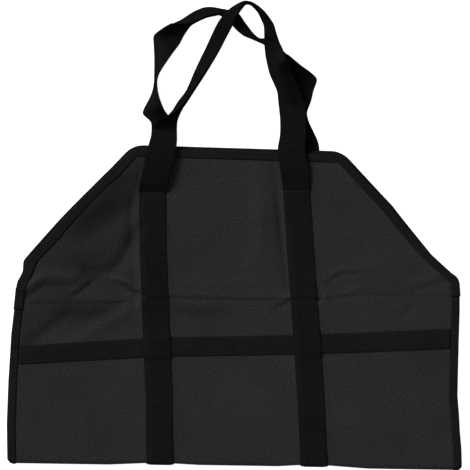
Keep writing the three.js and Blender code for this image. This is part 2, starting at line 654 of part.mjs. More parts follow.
// The origin is the middle of the footprint, on the surface that the carrier lies on
const box = new Box3().setFromObject(carrier);
const middle = box.getCenter(new Vector3());
carrier.position.set(-middle.x, -middle.y, -box.min.z);

export default carrier;
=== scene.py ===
# A firewood carrier lying flat: one sheet of black woven polyester folded in half round its bottom,
# with black webbing sewn round it that goes on as two twisted, crossed handles.
# Each piece is laid out in millimetres on a cutting table, X across the carrier and Y up from the
# bottom fold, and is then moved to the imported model's origin, in metres.
import math

import bmesh
import bpy
from mathutils import Matrix, Vector, noise


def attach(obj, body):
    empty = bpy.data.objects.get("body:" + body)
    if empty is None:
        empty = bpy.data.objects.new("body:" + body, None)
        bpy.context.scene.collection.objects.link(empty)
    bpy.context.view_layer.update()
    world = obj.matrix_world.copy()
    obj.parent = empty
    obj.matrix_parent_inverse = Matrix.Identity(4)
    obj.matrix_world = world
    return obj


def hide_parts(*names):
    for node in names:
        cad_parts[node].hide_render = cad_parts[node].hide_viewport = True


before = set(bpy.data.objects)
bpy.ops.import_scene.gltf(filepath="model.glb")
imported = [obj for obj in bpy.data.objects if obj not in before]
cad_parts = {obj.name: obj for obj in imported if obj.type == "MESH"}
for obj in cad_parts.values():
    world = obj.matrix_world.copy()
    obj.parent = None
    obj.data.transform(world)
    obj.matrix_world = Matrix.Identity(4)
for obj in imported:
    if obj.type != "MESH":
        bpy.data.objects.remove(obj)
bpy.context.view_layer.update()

# The view: the camera hangs straight above the carrier, far off, so that it sees hardly any
# perspective. The carrier lies turned by about a degree, so the camera is turned instead.
MM = 0.001
view_width = 0.6251
view_height = 6.0
view_middle = (-0.0036, -0.0014)
view_turn = math.radians(0.9)

scene = bpy.context.scene
camera = bpy.data.objects.new("camera", bpy.data.cameras.new("camera"))
scene.collection.objects.link(camera)
scene.camera = camera
camera.location = (*view_middle, view_height)
camera.rotation_euler = (0, 0, view_turn)
camera.data.lens = camera.data.sensor_width * view_height / view_width
camera.data.clip_end = 100

# The studio: a white floor under soft, even light, with one broad lamp on the left and beyond the
# handles, low enough to show the creases. The floor stays white, as on a product photograph.
scene.view_settings.view_transform = "Standard"
sky_strength = 0.5
lamp_strength = 4.6
lamp_angle = math.radians(26)
lamp_from = Vector((-0.66, 0.46, 0.62))

scene.world = bpy.data.worlds.new("studio")
scene.world.use_nodes = True
scene.world.node_tree.nodes["Background"].inputs["Color"].default_value = (1, 1, 1, 1)
scene.world.node_tree.nodes["Background"].inputs["Strength"].default_value = sky_strength
lamp = bpy.data.objects.new("lamp", bpy.data.lights.new("lamp", "SUN"))
scene.collection.objects.link(lamp)
lamp.data.energy = lamp_strength
lamp.data.angle = lamp_angle
lamp.rotation_mode = "QUATERNION"
lamp.rotation_quaternion = lamp_from.to_track_quat("Z", "Y")


def linear(hex_colour):
    """An sRGB hex colour as linear red, green, blue and alpha."""
    parts = [int(hex_colour[i : i + 2], 16) / 255 for i in (1, 3, 5)]
    return (*[p / 12.92 if p <= 0.04045 else ((p + 0.055) / 1.055) ** 2.4 for p in parts], 1)


def add_node(material, kind, inputs=None, **settings):
    """Adds a shader node, sets its settings, and links or sets its inputs, by name or number."""
    made = material.node_tree.nodes.new("ShaderNode" + kind)
    for name, value in settings.items():
        setattr(made, name, value)
    for socket, value in (inputs or {}).items():
        if isinstance(value, bpy.types.NodeSocket):
            material.node_tree.links.new(value, made.inputs[socket])
        else:
            made.inputs[socket].default_value = value
    return made


def new_material(name, **settings):
    """A material with its principled shader's own sockets set."""
    material = bpy.data.materials.new(name)
    material.use_nodes = True
    shader = material.node_tree.nodes["Principled BSDF"]
    for socket, value in settings.items():
        shader.inputs[socket.replace("_", " ")].default_value = value
    return material, shader


# Light table: an opal sheet, lit from below so that shadows on it stay faint.
board, board_shader = new_material(
    "lit_opal_sheet", Base_Color=linear("#969696"), Roughness=0.9, Specular_IOR_Level=0.1,
    Emission_Color=linear("#FFFFFF"), Emission_Strength=0.95,
)
floor_mesh = bmesh.new()
bmesh.ops.create_grid(floor_mesh, x_segments=1, y_segments=1, size=40)
bmesh.ops.translate(floor_mesh, verts=floor_mesh.verts, vec=(0, 0, -0.2 * MM))
floor_data = bpy.data.meshes.new("floor")
floor_mesh.to_mesh(floor_data)
floor_mesh.free()
floor = bpy.data.objects.new("floor", floor_data)
scene.collection.objects.link(floor)
floor_data.materials.append(board)

# Cloth sheet: one piece of heavy polyester, plain woven and coated on its inner side, cut with
# slanted upper corners and folded in half round the bottom. It lies nearly flat, with a packing
# crease across it and soft creases on the left, where the strap pulls at it.
body_width, body_height, side_height, top_width = 600, 421, 246, 276
mouth_step, mouth_skew, shoulder_radius, bottom_radius = 4, 4, 32, 7
sheet_thick, fold_gap, mouth_gap = 1.1, 11, 7.5
tape_width, tape_thick = 10, 0.9
web_width, web_thick, strap_spacing, head_height, head_drop = 36.5, 1.8, 191, 369, 8
cross_width, cross_thick, cross_height, ramp = 25.5, 1.4, 160, 6
clear = 0.3
origin = Vector((-2.110, -308.421, 0))

half_width = body_width / 2
sheet_face = sheet_thick / 2 + clear
back_level = web_thick + clear + sheet_thick / 2
back_mouth_level = back_level + tape_thick + clear
fold_radius = (fold_gap + sheet_thick) / 2
front_fold_level = back_level + 2 * fold_radius
mouth_level = back_mouth_level + sheet_thick + mouth_gap
front_top, back_top = body_height - mouth_step, body_height

# Side edges: height as a share of the side height, edge as a share of half the width
side_edges = {
    -1: [
        (0, -0.991), (0.24, -0.996), (0.5, -0.992), (0.76, -0.983), (0.93, -0.968), (1.016, -0.961),
        (1.062, -0.938), (1.118, -0.936),
    ],
    1: [
        (0, 1.01), (0.105, 1.006), (0.19, 0.998), (0.275, 0.993), (0.365, 0.985), (0.6, 0.9865),
        (0.8, 0.989), (0.9, 0.988), (0.965, 0.984), (0.992, 0.976),
    ],
}
# Bow of the slants inwards: share of the way from the corner to the shoulder, share of the width
slant_bows = {
    -1: [(0, 0), (0.35, 0), (0.6, 0.002), (0.8, 0.002), (1, 0)],
    1: [(0, 0), (0.2, 0.005), (0.35, -0.001), (0.6, -0.0095), (0.8, -0.005), (1, 0)],
}
# How far the front panel's slants lie inside the back one's: height and step in mm
front_steps = {
    -1: [(262, 0), (268, 1.5), (278, 6), (299, 7), (330, 5), (351, mouth_step)],
    1: [(side_height, 0), (270, 0.4), (300, 1.7), (330, 3.1), (head_height, mouth_step)],
}
# Middles of the straps: height as a share of the heads' height, middle as a share of the spacing
strap_middles = {
    -1: [(0, -0.503), (0.25, -0.515), (0.5, -0.543), (0.8, -0.575), (1, -0.584), (1.2, -0.59)],
    1: [(0, 0.568), (0.25, 0.538), (0.5, 0.497), (0.8, 0.446), (1, 0.416), (1.2, 0.392)],
}
# Rise of the cross strap: place as a share of half the width, rise as a share of the width
cross_rises = [(-1, -0.031), (-0.34, -0.006), (0.34, 0.006), (1, 0.0255)]
# Dip of the bottom fold under the straps: place as a share of half the width, dip of the fold's gap
fold_dips = [
    (-0.55, 0), (-0.39, 0.24), (-0.25, 0.24), (-0.15, 0.12), (0.2, 0.12), (0.29, 0.29), (0.43, 0.29),
    (0.6, 0),
]
# Folds of the front panel, in mm: half width, then the X, Y and rise at points along each one, with
# a negative rise for a hollow
folds = [
    # The packing crease, in three lengths between the straps, and the ridge over it
    (2.6, [(-292, 211, -0.3), (-261, 212, -1.5), (-213, 213, -1.6), (-150, 213, -1.5),
        (-138, 216, -0.8)]),
    (2.4, [(-136, 222, -1.2), (-81, 221, -1.6), (46, 220, -1.4), (72, 222, -1.2),
        (112, 222, -1.4)]),
    (2.6, [(112, 222, -0.8), (143, 227, -1.3), (186, 231, -1.3), (266, 229, -0.8),
        (292, 231, -0.2)]),
    (4.5, [(-290, 217, 0.2), (-240, 218, 0.5), (-150, 220, 0.5), (-81, 228, 0.9), (46, 227, 0.7),
        (112, 228, 0.8)]),
    # The hollow beside the left strap and round the left flap, with the two swells on the flap
    (5.5, [(-122, 400, -0.6), (-130, 385, -1.6), (-141, 338, -2.0), (-138, 290, -1.2),
        (-134, 240, -1.4)]),
    (13, [(-131, 352, -1.2), (-158, 334, -2.6), (-186, 322, -2.2), (-212, 306, -0.8)]),
    (8.5, [(-126, 316, -2.8), (-141, 294, -4.2), (-152, 270, -3.7), (-170, 256, -2.5),
        (-200, 254, -1.8), (-216, 254, 0)]),
    (14, [(-160, 392, 1.4), (-190, 352, 2.4), (-222, 326, 1.4)]),
    (15, [(-160, 312, 1.5), (-190, 288, 2.8), (-232, 284, 0.8)]),
    # The wave from the left corner, with the sharp creases between it and the packing crease
    (6.5, [(-286, 226, 1.2), (-274, 236, 2.8), (-256, 249, 3.2), (-236, 250, 2.4),
        (-214, 248, 2.8), (-190, 258, 0.6)]),
    (4.6, [(-286, 213, -0.8), (-272, 223, -1.9), (-253, 236, -2.2), (-216, 236, -1.0),
        (-200, 240, 0)]),
    (3.2, [(-186, 246, 0), (-192, 240, -2.2), (-210, 225, -2.4), (-219, 219, -1.0)]),
    (5, [(-186, 252, 0.6), (-200, 243, 1.4), (-218, 230, 0.8)]),
    # Under the packing crease on the left: a ridge from the strap and the hollows above it
    (9, [(-122, 216, 1.6), (-146, 202, 2.6), (-176, 184, 2.0), (-214, 162, 1.4), (-240, 146, 0.4)]),
    (8, [(-212, 206, -0.6), (-232, 190, -2.4), (-266, 162, -2.2), (-286, 148, -0.6)]),
    (8, [(-150, 214, -1.0), (-190, 196, -1.4), (-212, 190, -0.6)]),
    # Pinches where the left strap draws the cloth in
    (4, [(-176, 249, 0.8), (-158, 248, 3.0), (-140, 241, 3.8), (-124, 233, 2.4)]),
    (2.6, [(-156, 242, -0.4), (-145, 238, -3.2), (-132, 229, -4.2), (-122, 224, -2.6)]),
    (4.5, [(-133, 218, -0.6), (-135, 211, -1.8), (-136, 204, -0.6)]),
    # Between the straps: the hollow beside the right one, swells and small pinches
    (5, [(48, 406, -0.5), (53, 374, -2.0), (57, 337, -2.4), (62, 294, -2.2), (67, 262, -1.5),
        (71, 236, -0.6)]),
    (12, [(26, 396, 0.8), (30, 350, 1.8), (32, 300, 1.8), (26, 270, 0.8)]),
    (9, [(-96, 238, 0.4), (-60, 241, 1.1), (10, 243, 1.2), (48, 240, 0.5)]),
    (8, [(-92, 204, -0.8), (-55, 200, -1.6), (-10, 202, -1.0), (20, 200, 0)]),
    (3.2, [(50, 211, -0.4), (60, 213, -1.8), (72, 219, -1.6)]),
    (3.2, [(54, 219, 0.6), (64, 222, 1.4), (74, 228, 0.8)]),
    # Right of the right strap: the arc, the zigzag beside the strap and the creases to the corner
    (5, [(118, 246, 0.5), (131, 260, 1.2), (150, 265, 1.0), (176, 265, 0.8), (204, 273, 0.3)]),
    (3.6, [(112, 238, -0.4), (126, 248, -1.3), (140, 257, -1.2), (166, 258, -0.7), (190, 264, 0)]),
    (3.4, [(106, 248, 0.6), (116, 240, 1.5), (122, 228, 1.4), (114, 216, 0.6)]),
    (3, [(108, 238, -0.8), (114, 231, -1.8), (112, 222, -1.6)]),
    (4, [(182, 243, 0.2), (164, 240, 1.0), (148, 233, 1.1), (134, 230, 0.4)]),
    (6, [(218, 242, 0.2), (240, 248, 1.1), (284, 262, 1.0)]),
    (5, [(224, 236, 0), (246, 240, -1.0), (282, 252, -0.8)]),
    (6, [(246, 222, 0), (232, 212, -1.3), (210, 196, -0.4)]),
    # Dents at the bottom fold and slow swells of the lower half
    (5, [(-292, 2, -0.8), (-262, 12, -0.9), (-244, 20, 0)]),
    (14, [(-250, 44, 0), (-210, 34, 1.2), (-160, 20, 0.8)]),
    (5, [(-134, 22, 0), (-122, 12, -0.9), (-112, 3, -0.8)]),
    (9, [(-286, 132, 0), (-240, 126, -0.7), (-200, 118, 0)]),
    (34, [(-60, 60, 0.7), (60, 90, 0.7)]),
    (26, [(150, 60, 0.8), (260, 40, 0.8)]),
]
# Patches of painted shade on the front panel, in mm: half width, then the X, Y and share at points along
# them
painted_shade_patches = [
    (26, [(-144, 400, 0.3), (-152, 376, 0.36), (-176, 345, 0.26), (-230, 300, 0.12),
        (-262, 262, 0.06)]),
    (34, [(-166, 372, 0.18), (-180, 326, 0.4), (-204, 290, 0.4), (-240, 262, 0.16)]),
    (22, [(-176, 262, 0.12), (-202, 250, 0.2), (-236, 226, 0.22), (-266, 206, 0.1)]),
    (18, [(-150, 203, 0.05), (-215, 198, 0.24), (-256, 184, 0.2), (-286, 160, 0.1)]),
    (12, [(-90, 204, 0.1), (-40, 204, 0.12), (20, 204, 0.04)]),
    (10, [(-194, 266, 0.08), (-199, 260, 0.24), (-206, 252, 0.1)]),
    (9, [(-238, 202, 0.18), (-200, 204, 0.24), (-178, 204, 0.22), (-154, 210, 0.1)]),
    (10, [(42, 404, 0.05), (47, 350, 0.12), (52, 300, 0.12), (58, 250, 0.05)]),
]


def along(rows, at):
    """The value at a place along a table, with straight lines between its rows."""
    row = 0
    while row < len(rows) - 2 and at > rows[row + 1][0]:
        row += 1
    (start, low), (end, high) = rows[row], rows[row + 1]
    return low + (high - low) * min(1, max(0, (at - start) / (end - start)))


def ease(start, end, at):
    share = min(1, max(0, (at - start) / (end - start)))
    return share * share * (3 - 2 * share)


def edge_at(y, side, front):
    """X of a panel's side edge, straight up the side and then along the slant."""
    share_up, share_out = side_edges[side][-1]
    corner = side_height * share_up
    if y <= corner:
        x = half_width * along(side_edges[side], y / side_height)
    else:
        share = (y - corner) / (body_height - corner)
        bow = side * body_width * along(slant_bows[side], share)
        x = half_width * share_out + (side * top_width / 2 - half_width * share_out) * share - bow
    return x - side * along(front_steps[side], y) if front else x


def tape_reach(y):
    """Width of the edge tape across the carrier, which is more on a slant."""
    lean = (half_width - top_width / 2) / (body_height - side_height)
    on_slant = tape_width * math.hypot(1, lean)
    near_corner = ease(side_height - tape_width, side_height + tape_width, y)
    return tape_width + (on_slant - tape_width) * near_corner


def strap_middle(y, side):
    return strap_spacing * along(strap_middles[side], y / head_height)


def cloth_lines(y, front):
    """The lines that run up the cloth: its edges, the tapes' and the straps'."""
    left, right = edge_at(y, -1, front), edge_at(y, 1, front)
    straps = [strap_middle(y, side) + way * web_width / 2 for side in (-1, 1) for way in (-1, 1)]
    return [left, left + tape_reach(y), *straps, right - tape_reach(y), right]


def slope_at(x, y):
    """How far the cloth's rows rise at a place, as the cross strap and the mouth run askew."""
    rise = body_width * along(cross_rises, x / half_width)
    fade = y / cross_height if y < cross_height else 1 - ease(cross_height, head_height, y)
    skew = mouth_skew * (x / top_width) * ease(side_height, body_height, y)
    return rise * fade - skew - head_drop_at(x, y)


def head_drop_at(x, y):
    """How far the rows dip round the left strap's head, which is sewn lower than the right one's."""
    aside = x - strap_middle(head_height, -1)
    if aside < 0:
        near = 1 - ease(web_width / 2, web_width * 1.8, -aside)
    else:
        near = 1 - ease(web_width / 2, strap_spacing - web_width / 2, aside)
    below = ease(side_height, head_height, y)
    above = 1 - ease(head_height, body_height - 2 * tape_width, y)
    return head_drop * near * below * above


def fold_rise(half, points, x, y):
    """Height that one fold adds at a place."""
    near, found = 3 * half, 0
    for (x0, y0, rise0), (x1, y1, rise1) in zip(points, points[1:]):
        run_x, run_y = x1 - x0, y1 - y0
        share = ((x - x0) * run_x + (y - y0) * run_y) / (run_x**2 + run_y**2)
        share = min(1, max(0, share))
        away = math.hypot(x - x0 - run_x * share, y - y0 - run_y * share)
        if away < near:
            near, found = away, (rise0 + (rise1 - rise0) * share) * math.exp(-((away / half) ** 2))
    return found


def with_reach(rows):
    """Folds with the box that each one reaches, so that far ones are passed over quickly."""
    found = []
    for half, points in rows:
        xs, ys = [p[0] for p in points], [p[1] for p in points]
        reach = (min(xs) - 3 * half, max(xs) + 3 * half, min(ys) - 3 * half, max(ys) + 3 * half)
        found.append((half, points, reach))
    return found


reaching_folds, reaching_painted_shades = with_reach(folds), with_reach(painted_shade_patches)


def sum_folds(rows, x, y):
    """What all the folds of a table add at a place."""
    height = 0
    for half, points, (left, right, low, high) in rows:
        if left < x < right and low < y < high:
            height += fold_rise(half, points, x, y)
    return height


# Soft waves of the slack cloth: their lengths, and where along X they fade to the right
long_wave, short_wave, slack_from, slack_to = 75, 28, -240, 40


def crease_height(x, y):
    """Height of the front panel's folds and slack at a place. The slack is greatest at the upper
    left, and the folds are held flat by the bottom fold and half flat by the heads' seams."""
    height = sum_folds(reaching_folds, x, y)
    slack = noise.noise(Vector((x / long_wave, y / long_wave, 3.1)))
    slack += 0.5 * noise.noise(Vector((x / short_wave, y / short_wave, 7.7)))
    left = 1 - ease(slack_from, slack_to, x)
    height += (0.35 + 0.65 * left) * slack * (0.4 + 0.6 * ease(cross_height, side_height, y))
    held_flat = 0.5 * ease(head_height - 30, head_height, y)
    return height * ease(fold_radius, cross_height / 2, y) * (1 - held_flat)


def painted_relief_shade(x, y):
    """Painted tone of the front panel at a place: a painted highlight on its ridges, and painted
    shade in its hollows and in patches on the left."""
    return max(0.4, 1 + 0.06 * crease_height(x, y) - sum_folds(reaching_painted_shades, x, y))


# Beside a seam: the length and width of its ripples and their height, and how high and how far out
# the cloth stands up along a main strap
ripple_length, ripple_width, ripple_rise = 16, 7, 0.45
stand_up, stand_width = 0.8, 5


def pucker(x, y, front):
    """Small ripples of the cloth beside its seams, where the thread draws it in."""
    lines = cloth_lines(y, front)
    nearest = min(abs(x - line) for line in lines[1:7])
    ripple = noise.noise(Vector((x / ripple_length, y / ripple_width, 1.3)))
    ripple *= ripple_rise * math.exp(-nearest / ripple_width)
    aside = min(max(a - x, x - b) for a, b in (lines[2:4], lines[4:6]))
    drawn_up = stand_up * math.exp(-aside / stand_width) * (1 - ease(head_height - 6, head_height, y))
    return 0 if aside < 0 else (ripple + drawn_up) * ease(fold_radius, 30, y)


def crossing(x, y, front):
    """1 where a strap lies over a cross strap, and 0 away from it."""
    gap = abs(y - cross_height) - cross_width / 2
    lines = cloth_lines(y, front)
    aside = min(max(a - x, x - b, 0) for a, b in (lines[2:4], lines[4:6]))
    return (1 - ease(0, ramp, gap)) * (1 - ease(0, 2 * ramp, aside))


def round_corner(spot, corner, inward, turn, radius):
    """Draws the points near a corner of the outline in to an arc of a radius."""
    reach = radius * math.tan(turn / 2)
    away = math.hypot(spot.x - corner[0], spot.y - corner[1])
    if away < reach:
        pull = (reach - away) ** 2 / (2 * radius)
        spot.x += inward[0] * pull
        spot.y += inward[1] * pull


def cloth_point(x, y, height=0, front=True, turn=None, fine=True):
    """A point at a height over the cloth's middle layer, away from the space between the panels.
    turn is the angle round the bottom fold. fine adds the ripples beside the seams."""
    if turn is not None:
        radius = fold_radius + height
        level = back_level + fold_radius + radius * math.sin(turn)
        spot = Vector((x, fold_radius - radius * math.cos(turn), level))
        spot.y += fold_gap * along(fold_dips, x / half_width) * math.cos(turn)
        for side in (-1, 1):
            corner = (edge_at(0, side, True), 0)
            round_corner(spot, corner, (-0.7 * side, 0.7), math.pi / 2, bottom_radius)
        return spot
    lines = cloth_lines(y, front)
    held = min(lines[6], max(lines[1], x))
    spot = Vector((x, y + slope_at(x, y), 0))
    top = front_top if front else back_top
    for side in (-1, 1):
        shoulder = edge_at(top, side, front)
        corner = (shoulder, top + slope_at(shoulder, top))
        round_corner(spot, corner, (-0.39 * side, -0.92), math.radians(46), shoulder_radius)
    if front:
        rise = ease(fold_radius, head_height, y)
        spot.z = front_fold_level + (mouth_level - front_fold_level) * rise + height
        spot.z += crease_height(held, y + slope_at(held, y))
        if fine:
            spot.z += pucker(held, y, front)
    else:
        rise = ease(head_height, body_height - tape_width, y)
        spot.z = back_level + (back_mouth_level - back_level) * rise
        spot.z += (cross_thick + clear) * crossing(x, y, front) - height
    return spot


def to_frame(spot):
    """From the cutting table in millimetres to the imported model's frame in metres."""
    return (spot + origin) * MM


# Where the front panel has its fine creases, the step between its stations there, and the number of
# steps round the bottom fold
crease_zone, crease_step, bend_steps = (182, 292), 2.2, 14


def stations_between(back_from, front_to, back_step, front_step):
    """Stations along the sheet from a height on the back panel, round the fold, to one on the front:
    the panel, the height and the angle of each, and then their lengths along the sheet."""
    marks = [cross_height - cross_width / 2 - ramp, cross_height - cross_width / 2]
    marks += [cross_height + cross_width / 2, cross_height + cross_width / 2 + ramp, *crease_zone]
    found = []
    for front, top, step in ((False, back_from, back_step), (True, front_to, front_step)):
        stops = [fold_radius, *[m for m in marks if fold_radius < m < top], top]
        heights = [stops[0]]
        for low, high in zip(stops, stops[1:]):
            creased = front and crease_zone[0] <= low < crease_zone[1]
            count = max(1, round((high - low) / (min(step, crease_step) if creased else step)))
            heights += [low + (high - low) * (k + 1) / count for k in range(count)]
        panel = [(front, y, None) for y in heights]
        if front:
            turns = [math.pi * (k / bend_steps - 0.5) for k in range(1, bend_steps)]
            found += [(True, 0, turn) for turn in turns] + panel
        else:
            found += panel[::-1]
    lengths = []
    for front, y, turn in found:
        if turn is not None:
            lengths.append((turn + math.pi / 2) * fold_radius)
        else:
            lengths.append(y - fold_radius + math.pi * fold_radius if front else fold_radius - y)
    return found, lengths


def shaped_grid(name, columns, rows, place, across, lengths, tube=False, tone=None):
    """A grid laid out by a function of its column and row, with the weave's own UV map in metres.
    A tube has its last column welded to the first and its two ends closed. tone is a function of
    the column and row too, kept as an attribute of the points, which the cloth's material reads as
    painted shade."""
    mesh = bmesh.new()
    weave = mesh.loops.layers.uv.new("Weave")
    painted_shade_layer = mesh.verts.layers.float.new("PaintedShade") if tone else None
    bmesh.ops.create_grid(mesh, x_segments=columns, y_segments=rows, size=0.5)
    cell = {v: (round((v.co.x + 0.5) * columns), round((v.co.y + 0.5) * rows)) for v in mesh.verts}
    for face in mesh.faces:
        for loop in face.loops:
            column, row = cell[loop.vert]
            loop[weave].uv = (across(column, row) * MM, lengths[row] * MM)
        face.smooth = True
    for vert, (column, row) in cell.items():
        vert.co = to_frame(place(column, row))
        if tone:
            vert[painted_shade_layer] = tone(column, row)
    if tube:
        by_cell = {spot: vert for vert, spot in cell.items()}
        bmesh.ops.weld_verts(
            mesh, targetmap={by_cell[columns, row]: by_cell[0, row] for row in range(rows + 1)}
        )
        bmesh.ops.holes_fill(mesh, edges=[e for e in mesh.edges if e.is_boundary], sides=0)
    bmesh.ops.recalc_face_normals(mesh, faces=mesh.faces)
    data = bpy.data.meshes.new(name)
    mesh.to_mesh(data)
    mesh.free()
    made = bpy.data.objects.new(name, data)
    scene.collection.objects.link(made)
    return made


def fit_piece(piece, material, slot, *nodes):
    """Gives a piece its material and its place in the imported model."""
    piece.data.materials.append(material)
    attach(piece, "root")
    if nodes:
        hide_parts(*nodes)


# Columns of the sheet between the lines that run up it, and the steps of its stations in mm
zone_columns = [3, 74, 12, 80, 12, 74, 3]
back_stride, front_stride = 12, 3.3
zone_starts = [sum(zone_columns[:k]) for k in range(len(zone_columns) + 1)]


def column_x(column, y, front):
    """X of a column of the sheet at a height."""
    zone = min(len(zone_columns) - 1, sum(start <= column for start in zone_starts) - 1)
    lines = cloth_lines(y, front)
    share = (column - zone_starts[zone]) / zone_columns[zone]
    return lines[zone] + (lines[zone + 1] - lines[zone]) * share


sheet_stations, sheet_lengths = stations_between(back_top, front_top, back_stride, front_stride)


def sheet_place(column, row):
    front, y, turn = sheet_stations[row]
    return cloth_point(column_x(column, y, front), y, 0, front, turn)


def sheet_across(column, row):
    front, y, _ = sheet_stations[row]
    return column_x(column, y, front)


# The front panel's painted shade and highlight; the fold and the back panel have none.
def sheet_painted_shade(column, row):
    front, y, turn = sheet_stations[row]
    x = column_x(column, y, front)
    return painted_relief_shade(x, y + slope_at(x, y)) if front and turn is None else 1


cloth_piece = shaped_grid(
    "cloth_sheet", zone_starts[-1], len(sheet_stations) - 1, sheet_place, sheet_across, sheet_lengths,
    tone=sheet_painted_shade,
)
wall = cloth_piece.modifiers.new("thickness", "SOLIDIFY")
wall.thickness = sheet_thick * MM
wall.offset = 0


def yarns(material, uv, across_mm, along_mm):
    """Height of the yarns that lie beside each other across a weave, and of those along it, each 0
    to 1 at its real pitch."""
    found = []
    for direction, pitch_mm in (("X", across_mm), ("Y", along_mm)):
        scale = math.pi / 10 / (pitch_mm * MM)
        wave = add_node(material, "TexWave", {"Vector": uv, "Scale": scale}, bands_direction=direction)
        found.append(wave.outputs["Fac"])
    return found


# Polyester oxford, plain woven from heavy yarn and dyed black: matt and faintly grained. The yarns
# are half a millimetre, and are drawn at 1.3 mm so that they show. The fluff on them is random.
oxford, oxford_shader = new_material("woven_polyester", Roughness=0.85, Specular_IOR_Level=0.08)
oxford_uv = add_node(oxford, "UVMap", uv_map="Weave").outputs["UV"]
oxford_spot = add_node(oxford, "TexCoord").outputs["Object"]
yarn_mm, fluff_mm, rubbed_patch_mm = 1.3, 2.6, 60
fluff = add_node(
    oxford, "TexNoise", {"Vector": oxford_uv, "Scale": 1 / (fluff_mm * MM), "Detail": 3.0}
).outputs["Fac"]
rubbed_patches = add_node(
    oxford, "TexNoise", {"Vector": oxford_spot, "Scale": 1 / (rubbed_patch_mm * MM), "Detail": 3.0}
).outputs["Fac"]
oxford_tone = add_node(
    oxford, "Mix", {"Factor": 0.2, "A": fluff, "B": rubbed_patches}, data_type="FLOAT"
).outputs["Result"]
oxford_share = add_node(
    oxford, "MapRange", {"Value": oxford_tone, "From Min": 0.35, "From Max": 0.65}
).outputs["Result"]
oxford_dye = add_node(
    oxford, "Mix", {"Factor": oxford_share, 6: linear("#161616"), 7: linear("#222222")},
    data_type="RGBA",
)
# Painted shade and highlight: the sheet's attribute darkens the dye in the hollows and in patches on the
# left and lightens it on the ridges.
oxford_painted_shade = add_node(oxford, "Attribute", attribute_name="PaintedShade").outputs["Fac"]
oxford_colour = add_node(
    oxford, "VectorMath", {"Vector": oxford_dye.outputs[2], "Scale": oxford_painted_shade}, operation="SCALE"
)
oxford.node_tree.links.new(oxford_colour.outputs["Vector"], oxford_shader.inputs["Base Color"])
# A plain weave is high where both yarns are high or both low: 2 (a - 0.5) (b - 0.5) + 0.5
warp, weft = [
    add_node(oxford, "Math", {0: height, 1: 0.5}, operation="SUBTRACT").outputs[0]
    for height in yarns(oxford, oxford_uv, yarn_mm, yarn_mm)
]
both = add_node(oxford, "Math", {0: warp, 1: weft}, operation="MULTIPLY").outputs[0]
weave = add_node(oxford, "Math", {0: both, 1: 2.0, 2: 0.5}, operation="MULTIPLY_ADD").outputs[0]
oxford_relief = add_node(
    oxford, "Mix", {"Factor": 0.45, "A": weave, "B": fluff}, data_type="FLOAT"
).outputs["Result"]
oxford_bump = add_node(
    oxford, "Bump", {"Height": oxford_relief, "Strength": 0.5, "Distance": 0.25 * MM}
)
oxford.node_tree.links.new(oxford_bump.outputs["Normal"], oxford_shader.inputs["Normal"])

fit_piece(cloth_piece, oxford, "cloth", "body_sheet")

# Cross straps: one 25 mm webbing across each panel, a third of the way up, sewn along both edges.
# They run under the main straps, and their ends are caught under the side tapes.
edge_round, drawn_edge = 0.8, 7


def rounded_section(width, low, high, stops, worn=0):
    """Stops round a woven strip's section: across and up, from the lower left corner, with round
    edges. worn is how much thinner the strip is at its edges, where the stitches draw it down."""
    lip = min(0.45 * (high - low), edge_round)
    inner = width / 2 - lip
    ring = []
    for k in range(stops + 1):
        across = -inner + 2 * inner * k / stops
        ring.append((across, high - worn * ease(inner - drawn_edge, inner, abs(across))))
    middle, reach = (low + high - worn) / 2, (high - low - worn) / 2
    for way, start in ((1, math.pi / 2), (-1, -math.pi / 2)):
        if way == -1:
            ring += [(inner - 2 * inner * k / stops, low) for k in range(stops + 1)]
        arc = [start - math.pi * k / 4 for k in (1, 2, 3)]
        ring += [(way * (inner + lip * abs(math.cos(a))), middle + reach * math.sin(a)) for a in arc]
    return ring + ring[:1]


def section_lengths(ring):
    """Length round a section up to each of its stops."""
    found = [0]
    for a, b in zip(ring, ring[1:]):
        found.append(found[-1] + math.hypot(b[0] - a[0], b[1] - a[1]))
    return found


rib_mm, fuzz_mm, handled_patch_mm = 2.7, 1.6, 35


def webbing_material(name, dark, light, cord_mm, specular):
    """Woven strip: close ribs across it and cords along it, both drawn coarse enough to show."""
    material, shader = new_material(name, Roughness=0.75, Specular_IOR_Level=specular)
    uv = add_node(material, "UVMap", uv_map="Weave").outputs["UV"]
    spot = add_node(material, "TexCoord").outputs["Object"]
    cords, ribs = yarns(material, uv, cord_mm, rib_mm)
    fuzz = add_node(
        material, "TexNoise", {"Vector": uv, "Scale": 1 / (fuzz_mm * MM), "Detail": 3.0}
    ).outputs["Fac"]
    handled = add_node(
        material, "TexNoise", {"Vector": spot, "Scale": 1 / (handled_patch_mm * MM), "Detail": 3.0}
    ).outputs["Fac"]
    raised = add_node(
        material, "Mix", {"Factor": 0.35, "A": ribs, "B": cords}, data_type="FLOAT"
    ).outputs["Result"]
    fuzzy = add_node(
        material, "Mix", {"Factor": 0.75, "A": raised, "B": fuzz}, data_type="FLOAT"
    ).outputs["Result"]
    tone = add_node(
        material, "Mix", {"Factor": 0.12, "A": fuzzy, "B": handled}, data_type="FLOAT"
    ).outputs["Result"]
    share = add_node(material, "MapRange", {"Value": tone, "From Min": 0.36, "From Max": 0.64})
    dye = add_node(
        material, "Mix", {"Factor": share.outputs["Result"], 6: linear(dark), 7: linear(light)},
        data_type="RGBA",
    )
    material.node_tree.links.new(dye.outputs[2], shader.inputs["Base Color"])
    relief = add_node(
        material, "Mix", {"Factor": 0.25, "A": raised, "B": fuzz}, data_type="FLOAT"
    ).outputs["Result"]
    bump = add_node(material, "Bump", {"Height": relief, "Strength": 0.6, "Distance": 0.3 * MM})
    material.node_tree.links.new(bump.outputs["Normal"], shader.inputs["Normal"])
    return material


